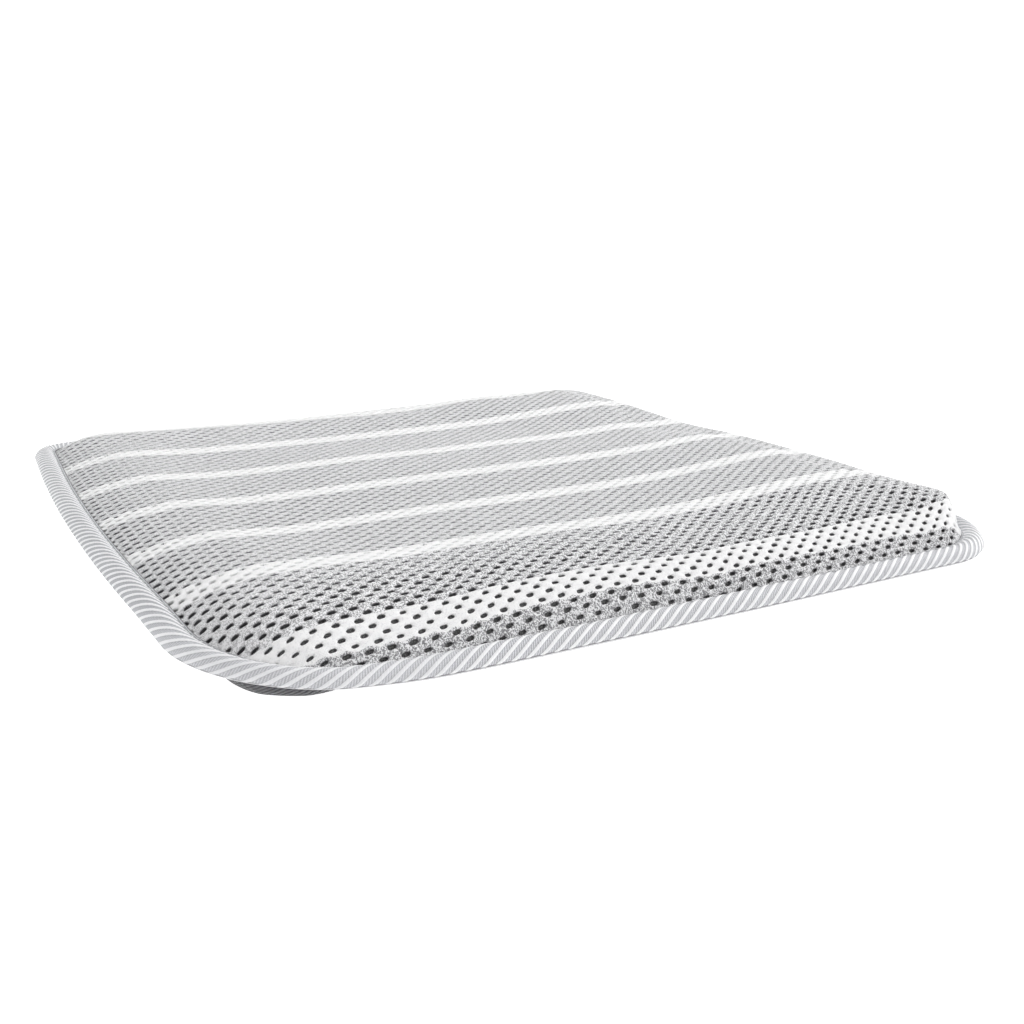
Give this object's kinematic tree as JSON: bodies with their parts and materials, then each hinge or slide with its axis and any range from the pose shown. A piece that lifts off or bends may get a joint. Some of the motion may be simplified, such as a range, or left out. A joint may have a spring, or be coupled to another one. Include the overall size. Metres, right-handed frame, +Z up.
{
  "type": "seat and kneeling pad",
  "caption": "Flat square cushion with rounded corners, a crowned open-mesh top in stripes, a plain dark underside and a folded tape sewn round the edge; it is knelt or sat on.",
  "frame": {"origin": "under the middle of the pad's bounding box, on the floor plane", "axes": "+Z up through the thickness; -Y is the front edge, which the stripes run along; +X is to the right"},
  "size_m": [0.4046, 0.3943, 0.029],
  "materials": {
    "top_mesh": "knitted polyester air mesh, grey melange with white stripes and open holes",
    "lining": "dark knitted lining, matte",
    "wadding": "bonded polyester fibre, white, fluffy",
    "foam": "open-cell soft foam, off-white, matte",
    "base_fabric": "dark grey ribbed fabric, matte",
    "binding_tape": "satin-ribbed tape with slanting white and pale grey stripes",
    "thread": "twisted polyester sewing thread, pale grey"
  },
  "bodies": {
    "root": {"top_mesh_cover": "top_mesh", "mesh_lining": "lining", "wadding_layer": "wadding", "foam_core": "foam", "bottom_cover": "base_fabric", "edge_binding": "binding_tape", "binding_needle_thread": "thread", "binding_bobbin_thread": "thread", "closing_seam_thread": "thread"}
  },
  "joints": []
}
